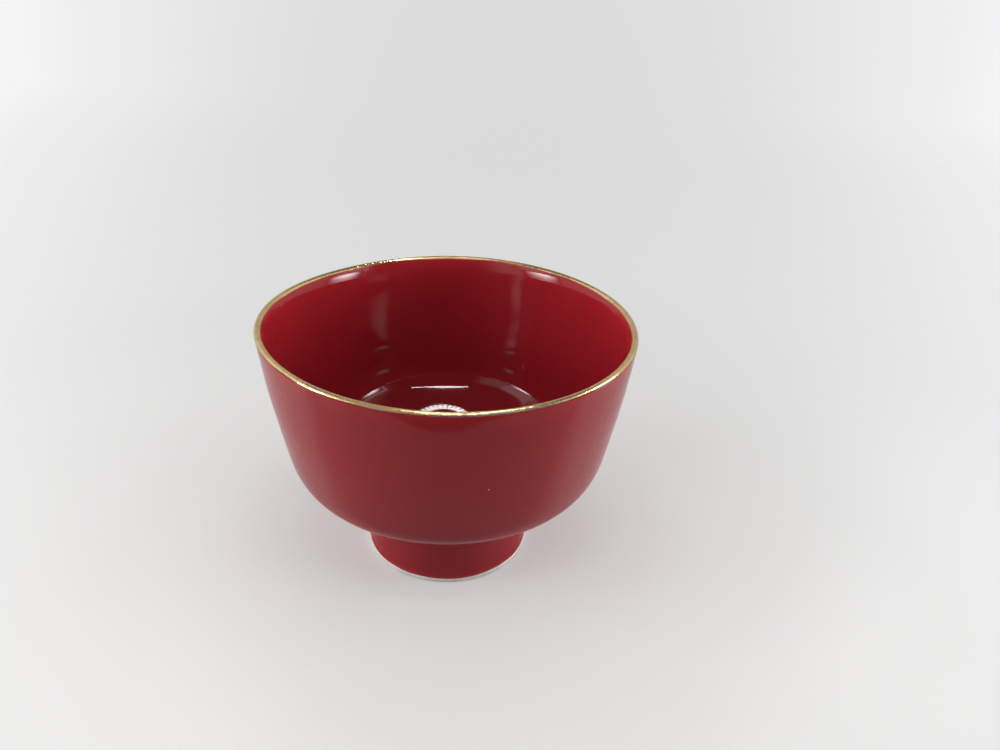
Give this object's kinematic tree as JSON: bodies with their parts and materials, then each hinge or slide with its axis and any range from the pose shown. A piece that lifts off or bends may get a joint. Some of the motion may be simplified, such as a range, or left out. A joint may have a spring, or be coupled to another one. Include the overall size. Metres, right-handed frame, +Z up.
{
  "type": "porcelain bowl",
  "caption": "Footed porcelain bowl for food or tea, red glaze inside and out, gilt lip, tall foot ring with a bare white standing edge.",
  "frame": {"origin": "on the bowl's axis, in the plane that the foot ring stands on", "axes": "+Z up along the axis of turning; the picture was taken from about -Y, a little towards +X, looking along +Y"},
  "size_m": [0.1202, 0.1202, 0.0848],
  "materials": {
    "white_porcelain": "fired, hidden under the glaze",
    "bare_porcelain": "unglazed, smooth and matt",
    "red_glaze_outside": "glossy",
    "red_glaze_inside": "glossy",
    "red_glaze_recess": "glossy",
    "gold_lustre": "fired gold lustre, brushed on by hand"
  },
  "bodies": {
    "root": {"porcelain_bowl": "white_porcelain", "foot_ring": "bare_porcelain", "outside_glaze": "red_glaze_outside", "inside_glaze": "red_glaze_inside", "recess_glaze": "red_glaze_recess", "gilt_lip": "gold_lustre"}
  },
  "joints": []
}
